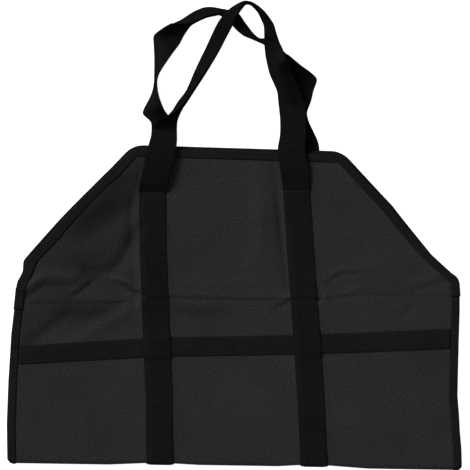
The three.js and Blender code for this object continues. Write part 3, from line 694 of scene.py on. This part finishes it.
# Polypropylene webbing, needle woven and dyed black: close ribs across, and nearly matt. The ribs are
# about 1.5 mm, and are drawn at 2.7 mm so that they show.
cross_webbing = webbing_material("narrow_polypropylene_webbing", "#070707", "#191919", 2.7, 0.005)
cross_top = sheet_face + cross_thick
cross_section = rounded_section(cross_width, sheet_face, cross_top, 12, 0.3)
cross_lengths = section_lengths(cross_section)
cross_columns = 210
for front, name in ((True, "cross_strap_front"), (False, "cross_strap_back")):

    def cross_place(stop, row, front=front):
        across, height = cross_section[stop]
        y = cross_height + across
        lines = cloth_lines(y, front)
        x = lines[1] + (lines[6] - lines[1]) * row / cross_columns
        return cloth_point(x, y, height, front, fine=False)

    piece = shaped_grid(
        name + "_webbing", len(cross_section) - 1, cross_columns, cross_place,
        lambda stop, row: cross_lengths[stop], [k * 2.8 for k in range(cross_columns + 1)], tube=True,
    )
    fit_piece(piece, cross_webbing, "cross_webbing", name)

# Main straps: two lengths of wide webbing that run round the bottom under the logs, sewn down
# along both edges up to their heads. They lie over the cross straps, and go on as the handles.
webbing = webbing_material("wide_polypropylene_webbing", "#050505", "#161616", 2.7, 0.005)
strap_section = rounded_section(web_width, 0, web_thick, 20, 0.8)
strap_lengths = section_lengths(strap_section)
strap_stations, strap_path = stations_between(head_height + clear, head_height + clear, 6, 2.6)


def strap_point(side, across, height, station):
    """A point over a main strap's underside, across it from its middle."""
    front, y, turn = station
    x = strap_middle(y, side) + across
    raised = (cross_thick + clear) * crossing(x, y, front) if turn is None else 0
    return cloth_point(x, y, sheet_face + raised + height, front, turn, fine=False)


strap_pieces = {}
for side, name in ((-1, "strap_left"), (1, "strap_right")):

    def strap_place(stop, row, side=side):
        return strap_point(side, *strap_section[stop], strap_stations[row])

    strap_pieces[side] = shaped_grid(
        name + "_webbing", len(strap_section) - 1, len(strap_stations) - 1, strap_place,
        lambda stop, row: strap_lengths[stop], strap_path, tube=True,
    )
    fit_piece(strap_pieces[side], webbing, "webbing", name)

# Edge tape: 20 mm woven polyester tape folded over the raw edges and sewn through. One length
# binds the slants and the top of each panel, and one each side goes round the bottom fold.
tape_lap, tape_fold_stops, tape_sink, rolled_edge, tape_step = 28, 5, 0.15, 0.5, 3
tape_near, tape_far = sheet_face - tape_sink, sheet_face - tape_sink + tape_thick


def tape_section():
    """Stops round the folded tape: share from the inner line (0) to the cloth's edge (1), reach past
    the edge, and height, over the front face, round the edge and back under, then inside again."""
    near, far = tape_near, tape_far
    shares = [k / tape_fold_stops for k in range(tape_fold_stops + 1)]
    outer = [(share, 0, far if share else far - rolled_edge) for share in shares]
    bend = [(1, far * math.cos(a), far * math.sin(a)) for a in (1.05, 0.52, 0, -0.52, -1.05)]
    under = [(1 - share, 0, -far) for share in shares]
    inside = [(share, 0, -near) for share in shares]
    crook = [(1, near * math.cos(a), near * math.sin(a)) for a in (-0.8, 0, 0.8)]
    back = [(1 - share, 0, near) for share in shares]
    ring = [*outer, *bend, *under, *inside, *crook, *back]
    return ring + ring[:1]


folded_tape = tape_section()
tape_ring_lengths = section_lengths([(share * tape_width, height) for share, _, height in folded_tape])


def tape_piece(name, stops, ends_up=0):
    """A folded tape along stops: each is an edge point and an inner point as (x, y), a panel and a
    turn. ends_up lifts its last few millimetres over the tape that they lap. It gives the piece, the
    function of its points and the length up to each stop."""
    last = len(stops) - 1

    def base(row, share, height):
        edge, inner, front, turn = stops[min(last, max(0, row))]
        x = inner[0] + (edge[0] - inner[0]) * share
        y = inner[1] + (edge[1] - inner[1]) * share
        return cloth_point(x, y, height, front, turn, fine=False)

    path = [0]
    outward = []
    for k in range(len(stops)):
        spot = base(k, 1, 0)
        if k:
            path.append(path[-1] + (spot - base(k - 1, 1, 0)).length)
        run = (base(k + 1, 1, 0) - base(k - 1, 1, 0)).normalized()
        face = (base(k, 1, 1) - spot).normalized()
        out = run.cross(face).normalized()
        if out.dot(spot - base(k, 0, 0)) < 0:
            out.negate()
        outward.append(out)

    def place(ring_stop, row):
        share, reach, height = folded_tape[ring_stop]
        near_end = min(path[row], path[-1] - path[row])
        lifted = ends_up * (1 - ease(tape_lap, tape_lap + 4, near_end))
        height += math.copysign(lifted, height) if height else 0
        ripple = 0.12 * noise.noise(Vector((path[row] / 5, share * 2, 0.4)))
        spot = base(row, share, height * (1 + ripple))
        return spot + outward[row] * (reach + (lifted if reach else 0))

    piece = shaped_grid(
        name, len(folded_tape) - 1, last, place, lambda stop, row: tape_ring_lengths[stop], path,
        tube=True,
    )
    return piece, base, path


binding = webbing_material("woven_edge_tape", "#080808", "#1A1A1A", 2.0, 0.005)


def edge_stops(side, low, high, front):
    """Stops up one side edge of a panel."""
    count = round((high - low) / tape_step)
    top = front_top if front else back_top
    found = []
    for k in range(count + 1):
        y = low + (high - low) * k / count
        inner_y = min(y, top - tape_width)
        inner = edge_at(inner_y, side, front) - side * tape_reach(inner_y)
        found.append(((edge_at(y, side, front), y), (inner, inner_y), front, None))
    return found


def mouth_stops(front):
    """Stops along the top edge of a panel, from left to right."""
    top = front_top if front else back_top
    under = top - tape_width
    left, right = edge_at(top, -1, front), edge_at(top, 1, front)
    inner_left = edge_at(under, -1, front) + tape_reach(under)
    inner_right = edge_at(under, 1, front) - tape_reach(under)
    count = round((right - left) / tape_step)
    found = []
    for k in range(1, count):
        x = left + (right - left) * k / count
        found.append(((x, top), (min(inner_right, max(inner_left, x)), under), front, None))
    return found


tapes = {}
for front, name in ((True, "top_tape_front"), (False, "top_tape_back")):
    top = front_top if front else back_top
    low = side_height - tape_lap if front else side_height + clear
    stops = edge_stops(-1, low, top, front) + mouth_stops(front)
    stops += edge_stops(1, low, top, front)[::-1]
    tapes[name] = tape_piece(name + "_binding", stops, tape_thick if front else 0)
for side, name in ((-1, "side_tape_left"), (1, "side_tape_right")):
    stops = edge_stops(side, fold_radius, side_height, False)[::-1]
    edge = edge_at(0, side, True)
    for k in range(1, bend_steps):
        turn = math.pi * (k / bend_steps - 0.5)
        stops.append(((edge, 0), (edge - side * tape_width, 0), True, turn))
    stops += edge_stops(side, fold_radius, side_height, True)
    tapes[name] = tape_piece(name + "_binding", stops)
for name, (piece, *_) in tapes.items():
    fit_piece(piece, binding, "edge_tape", name)

# Handles: the same webbing, going on free past the heads as one loop on the front and one on the
# back. They lie twisted, folded lengthwise in places, and crossed near their tops.
handle_reach, folded_edge, handle_steps, smooth_passes = 197, 7, 10, 3
seat_level = mouth_level + sheet_face
rim_level = seat_level + tape_thick + clear
# From the left foot to the right one: the outer edge's X and Y, the inner edge's X and Y, the lift,
# and the directions of the outer and inner half in degrees. X is a share of the strap spacing from
# the left head's middle, Y of the reach past the top edge, and the lift of the front rim's level.
front_rows = [
    (-0.096, -0.285, 0.1, -0.287, 1.03, 180, 0), (-0.094, -0.262, 0.102, -0.264, 1.19, 180, -2),
    (-0.089, -0.235, 0.108, -0.238, 1.36, 180, -4), (-0.075, -0.159, 0.124, -0.163, 1.48, 180, -8),
    (-0.049, -0.04, 0.153, -0.047, 1.42, 180, -8), (-0.026, 0.049, 0.164, 0.045, 1.1, 178, -4),
    (-0.003, 0.13, 0.162, 0.126, 0.8, 172, 0),
    (0.021, 0.175, 0.164, 0.174, 0.82, 130, 5), (0.083, 0.21, 0.174, 0.208, 0.8, 85, 20),
    (0.127, 0.254, 0.197, 0.259, 0.62, 56, 42), (0.167, 0.32, 0.234, 0.314, 0.3, 48, 48),
    (0.221, 0.392, 0.282, 0.389, 0.1, 54, 54), (0.285, 0.543, 0.359, 0.509, 0.05, 35, 35),
    (0.354, 0.686, 0.44, 0.645, 0.15, 12, 12), (0.398, 0.783, 0.49, 0.741, 0.5, 5, 5),
    (0.439, 0.859, 0.53, 0.815, 0.92, 2, 2), (0.491, 0.924, 0.565, 0.887, 1, 12, 12),
    (0.543, 0.968, 0.604, 0.946, 0.5, 45, 45), (0.61, 1.003, 0.628, 0.972, 0.1, 80, 80),
    (0.666, 0.998, 0.66, 0.968, 0.05, 84, 84), (0.713, 0.973, 0.686, 0.946, 0.05, 78, 78),
    (0.756, 0.936, 0.711, 0.918, 0.15, 62, 62), (0.795, 0.889, 0.732, 0.878, 0.4, 48, 48),
    (0.825, 0.842, 0.752, 0.831, 0.8, 38, 38), (0.842, 0.785, 0.756, 0.777, 1.3, 31, 31),
    (0.863, 0.727, 0.758, 0.716, 1.4, 80, 0), (0.89, 0.667, 0.765, 0.644, 1.4, 105, -5),
    (0.917, 0.599, 0.779, 0.577, 1.25, 140, -45), (0.944, 0.535, 0.798, 0.509, 1, 208, -46),
    (0.976, 0.468, 0.829, 0.445, 0.8, 210, -46), (1.01, 0.404, 0.853, 0.391, 0.62, 206, -40),
    (1.038, 0.343, 0.86, 0.337, 0.5, 196, -24), (1.052, 0.296, 0.866, 0.293, 0.48, 186, -8),
    (1.057, 0.201, 0.877, 0.198, 0.62, 180, 0), (1.061, 0.099, 0.877, 0.096, 0.85, 180, 0),
    (1.054, -0.003, 0.862, -0.006, 1.1, 176, 0), (1.084, -0.138, 0.884, -0.141, 1.14, 178, 0),
]
back_rows = [
    (-0.068, -0.156, 0.127, -0.153, 0, 180, 0), (-0.039, -0.026, 0.153, -0.023, 0, 180, 0),
    (-0.023, 0.055, 0.162, 0.058, 0, 180, 0), (-0.017, 0.12, 0.15, 0.139, 0, 180, 0),
    (-0.024, 0.177, 0.121, 0.2, 0, 184, 4), (-0.08, 0.228, 0.086, 0.237, 0, 194, 14),
    (-0.065, 0.279, 0.064, 0.274, 0, 222, 42), (-0.034, 0.337, 0.041, 0.331, 0, 246, 66),
    (-0.015, 0.388, 0.027, 0.385, 0, 258, 78), (-0.006, 0.442, 0.022, 0.443, 0, 264, 84),
    (-0.005, 0.497, 0.033, 0.49, 0, 262, 82), (-0.005, 0.571, 0.054, 0.529, 0, 250, 70),
    (-0.007, 0.632, 0.084, 0.575, 0, 237, 57), (-0.011, 0.693, 0.114, 0.621, 0, 222, 42),
    (-0.012, 0.76, 0.145, 0.667, 0, 198, 18), (0.044, 0.803, 0.175, 0.712, 0, 130, 4),
    (0.101, 0.836, 0.199, 0.759, 0, 105, 2), (0.173, 0.867, 0.238, 0.815, 0, 50, 24),
    (0.259, 0.923, 0.268, 0.84, 0, 24, 24), (0.336, 0.955, 0.351, 0.88, 0, 33, 33),
    (0.398, 0.958, 0.41, 0.893, 0, 42, 42), (0.458, 0.948, 0.446, 0.899, 0, 40, 40),
    (0.517, 0.938, 0.49, 0.871, 0, 18, 18), (0.579, 0.916, 0.536, 0.832, 0, 0, 0),
    (0.616, 0.867, 0.566, 0.801, 0, 18, 18), (0.662, 0.809, 0.614, 0.764, 0, 38, 38),
    (0.697, 0.772, 0.666, 0.743, 0, 52, 52), (0.729, 0.752, 0.714, 0.723, 0, 60, 60),
    (0.788, 0.75, 0.763, 0.7, 0, 42, 42), (0.841, 0.7, 0.786, 0.638, 0, 22, 22),
    (0.89, 0.67, 0.818, 0.591, 0, 70, 5), (0.954, 0.62, 0.865, 0.524, 0, 112, 0),
    (1.024, 0.567, 0.911, 0.443, 0, 142, 0), (1.088, 0.525, 0.943, 0.416, 0, 165, 0),
    (1.131, 0.48, 0.954, 0.386, 0, 176, 0), (1.108, 0.405, 0.927, 0.352, 0, 180, 0),
    (1.091, 0.33, 0.907, 0.307, 0, 180, 0), (1.064, 0.252, 0.88, 0.246, 0, 180, 0),
    (1.083, 0.184, 0.895, 0.171, 0, 180, 0), (1.112, 0.127, 0.927, 0.104, 0, 180, 0),
    (1.144, 0.06, 0.956, 0.043, 0, 180, 0), (1.154, -0.008, 0.964, -0.011, 0, 180, 0),
    (1.123, -0.137, 0.931, -0.14, 0, 180, 0),
]
# Creases of the front handle over the mouth and at its right head, as rows of folds
web_creases = [
    (2.8, [(50, 408, 1.5), (90, 436, 1.9)]),
    (2.2, [(56, 377, -0.9), (102, 374.5, -0.9)]),
]
half_stops, edge_bulge = 14, 0.6
web_stops = [(k / half_stops) * web_width / 2 for k in range(-half_stops, half_stops + 1)]


def web_section(outer, inner):
    """Section of the webbing between two directions of its halves, as a closed ring: across from 0
    at the outer side to 1 at the inner one, and up from its lowest point in millimetres."""

    def angle_at(place):
        share = min(1, max(0, place / folded_edge + 0.5))
        return math.radians(outer - 180 + (inner - outer + 180) * share)

    middle = [Vector((0, 0))]
    for a, b in zip(web_stops, web_stops[1:]):
        spot = middle[-1].copy()
        for k in range(6):
            angle = angle_at(a + (b - a) * (k + 0.5) / 6)
            spot += Vector((math.cos(angle), math.sin(angle))) * (b - a) / 6
        middle.append(spot)
    tops, lows = [], []
    for spot, place in zip(middle, web_stops):
        angle = angle_at(place)
        normal = Vector((-math.sin(angle), math.cos(angle)))
        tops.append(spot + normal * web_thick / 2)
        lows.append(spot - normal * web_thick / 2)
    ring = [*tops, middle[-1] + (middle[-1] - middle[-2]).normalized() * edge_bulge]
    ring += [*lows[::-1], middle[0] + (middle[0] - middle[1]).normalized() * edge_bulge]
    left = min(p.x for p in ring)
    width = max(p.x for p in ring) - left
    low = min(p.y for p in ring)
    return [((p.x - left) / width, p.y - low) for p in ring + ring[:1]]


def smooth_between(values, row, share):
    """A soft curve through a list of values or points, between a row and the next."""
    last = len(values) - 1
    start, end = values[row], values[row + 1]
    before = values[row - 1] if row else start * 2 - end
    after = values[row + 2] if row + 2 <= last else end * 2 - start
    lean, away = (end - before) * 0.4, (after - start) * 0.4
    s2, s3 = share * share, share**3
    straight = start * (2 * s3 - 3 * s2 + 1) + end * (3 * s2 - 2 * s3)
    return straight + lean * (s3 - 2 * s2 + share) + away * (s3 - s2)


def handle_piece(name, table, head_level, creases=()):
    """A handle: the section carried along between its two edges, from head to head. head_level is
    the level of the main straps' heads, which its ends meet."""
    start = strap_middle(head_height, -1)

    def spot_of(x, y, lift):
        return Vector((start + x * strap_spacing, body_height + y * handle_reach, lift * rim_level))

    def head(side, way):
        x = strap_middle(head_height, side) + way * web_width / 2
        return Vector((x, head_height + slope_at(x, head_height) + clear, head_level))

    outs = [head(-1, -1), *[spot_of(r[0], r[1], r[4]) for r in table], head(1, 1)]
    ins = [head(-1, 1), *[spot_of(r[2], r[3], r[4]) for r in table], head(1, -1)]
    outer = [180.0, *[float(r[5]) for r in table], 180.0]
    inner = [0.0, *[float(r[6]) for r in table], 0.0]
    total = (len(outs) - 1) * handle_steps
    rings, middles = [], []
    for k in range(total + 1):
        row = min(len(outs) - 2, k // handle_steps)
        share = k / handle_steps - row
        out = smooth_between(outs, row, share)
        across = smooth_between(ins, row, share) - out
        halves = [values[row] + (values[row + 1] - values[row]) * share for values in (outer, inner)]
        ring = []
        for place, up in web_section(*halves):
            spot = out + across * place
            crease = sum(fold_rise(half, points, spot.x, spot.y) for half, points in creases)
            ring.append(Vector((spot.x, spot.y, max(0, spot.z) + up + crease)))
        rings.append(ring)
        middles.append(out + across * 0.5)
    for _ in range(smooth_passes):
        for k in range(1, total):
            for i in range(len(rings[k])):
                rings[k][i] = (rings[k - 1][i] + rings[k][i] * 2 + rings[k + 1][i]) / 4
    path = [0]
    for a, b in zip(middles, middles[1:]):
        path.append(path[-1] + (b - a).length)
    edge = web_width / 2 + edge_bulge
    flat_ring = [(p, web_thick) for p in web_stops] + [(edge, web_thick / 2)]
    flat_ring += [(p, 0) for p in web_stops[::-1]] + [(-edge, web_thick / 2)]
    ring_lengths = section_lengths(flat_ring + flat_ring[:1])
    return shaped_grid(
        name, len(rings[0]) - 1, total, lambda stop, row: rings[row][stop],
        lambda stop, row: ring_lengths[stop], path, tube=True,
    )


# The free webbing is the same webbing, with its dye drawn a little darker than the sewn one's as painted
# shade.
shaded_free_webbing = webbing_material("free_polypropylene_webbing_painted_shade", "#060606", "#131313", 2.7, 0.0)
handle_front = handle_piece("handle_front_webbing", front_rows, seat_level, web_creases)
fit_piece(handle_front, shaded_free_webbing, "webbing", "handle_front")
handle_back = handle_piece("handle_back_webbing", back_rows, 0)
fit_piece(handle_back, shaded_free_webbing, "webbing", "handle_back")

# Stitching: black polyester thread, lockstitched by machine in stitches of about 3 mm that sink a
# little into the webbing. Two rows run up each edge of the main straps and across their heads, and
# one along each edge of the cross straps and along the tapes, on both faces.
thread, thread_shader = new_material(
    "polyester_thread", Base_Color=linear("#121212"), Roughness=0.6, Specular_IOR_Level=0.12
)
stitch_pitch, stitch_length, stitch_width, stitch_height, stitch_sink = 3.2, 2.4, 0.6, 0.48, 0.15
lowest_stitch = 0.14
one_stitch = bmesh.new()
bmesh.ops.create_uvsphere(one_stitch, u_segments=8, v_segments=6, radius=0.5 * MM)
bmesh.ops.scale(one_stitch, vec=(stitch_width, stitch_length, stitch_height), verts=one_stitch.verts)
for face in one_stitch.faces:
    face.smooth = True
stitch_mesh = bpy.data.meshes.new("one_stitch")
one_stitch.to_mesh(stitch_mesh)
one_stitch.free()


def stitch_rows(name, rows, slot):
    """Stitches along rows of points: each row is a list of pairs, a point and its face's direction.
    Stitches under the back are kept from reaching far below the surface that the carrier lies on."""
    mesh = bmesh.new()
    for row in rows:
        travelled, due = 0, stitch_pitch / 2
        for (a, up_a), (b, up_b) in zip(row, row[1:]):
            run = b - a
            while due <= travelled + run.length and run.length > 0:
                share = (due - travelled) / run.length
                along_y = run.normalized()
                side_x = along_y.cross(up_a.lerp(up_b, share)).normalized()
                turn = Matrix((side_x, along_y, side_x.cross(along_y))).transposed().to_4x4()
                spot = to_frame(a + run * share)
                spot.z = max(spot.z, lowest_stitch * MM)
                place = Matrix.Translation(spot) @ turn
                stitch_mesh.transform(place)
                mesh.from_mesh(stitch_mesh)
                stitch_mesh.transform(place.inverted())
                due += stitch_pitch
            travelled += run.length
    data = bpy.data.meshes.new(name)
    mesh.to_mesh(data)
    mesh.free()
    made = bpy.data.objects.new(name, data)
    scene.collection.objects.link(made)
    fit_piece(made, thread, slot)
    return made


def row_on(point_at, stops):
    """A row for stitch_rows: point_at gives a point from a stop and a height over the face."""
    pairs = []
    for stop in stops:
        low = point_at(stop, 0)
        up = (point_at(stop, 1) - low).normalized()
        pairs.append((low + up * (stitch_height / 2 - stitch_sink), up))
    return pairs


# Insets of the rows along a main strap's edges and across its head, and along a cross strap's edges,
# with how far short of its ends a row across a head or along a cross strap stops
edge_insets, head_insets, cross_inset = (3.4, 6.2), (2.5, 8.5), 3
head_margin, cross_margin = 3, 1
# Steps of a row across a head and of one along a cross strap, and the place of a tape's row as a
# share from the tape's inner line to the cloth's edge
head_steps, cross_steps, tape_row = 10, 40, 0.25
for side, name in ((-1, "left"), (1, "right")):
    seams = []
    for inset in edge_insets:
        for way in (-1, 1):

            def along_strap(station, over, side=side, across=way * (web_width / 2 - inset)):
                return strap_point(side, across, web_thick + over, station)

            seams.append(row_on(along_strap, strap_stations))
    reach = web_width / 2 - head_margin
    for inset in head_insets:
        for front in (True, False):

            def over_head(across, over, side=side, station=(front, head_height - inset, None)):
                return strap_point(side, across, web_thick + over, station)

            places = [reach * (2 * k / head_steps - 1) for k in range(head_steps + 1)]
            seams.append(row_on(over_head, places))
    stitch_rows(f"strap_{name}_stitching", seams, "webbing")

seams = []
for front in (True, False):
    for way in (-1, 1):
        y = cross_height + way * (cross_width / 2 - cross_inset)
        lines = cloth_lines(y, front)

        def along_cross(x, over, y=y, front=front):
            return cloth_point(x, y, cross_top + over, front, fine=False)

        for k in (1, 3, 5):
            start, end = lines[k] + cross_margin, lines[k + 1] - cross_margin
            stride = (end - start) / cross_steps
            seams.append(row_on(along_cross, [start + stride * step for step in range(cross_steps + 1)]))
stitch_rows("cross_strap_stitching", seams, "cross_webbing")

for name, (piece, base, path) in tapes.items():
    seams = []
    for way in (1, -1):

        def along_tape(stop, over, base=base, way=way):
            return base(stop, tape_row, way * (tape_far + over))

        seams.append(row_on(along_tape, range(len(path))))
    stitch_rows(name + "_stitching", seams, "edge_tape")
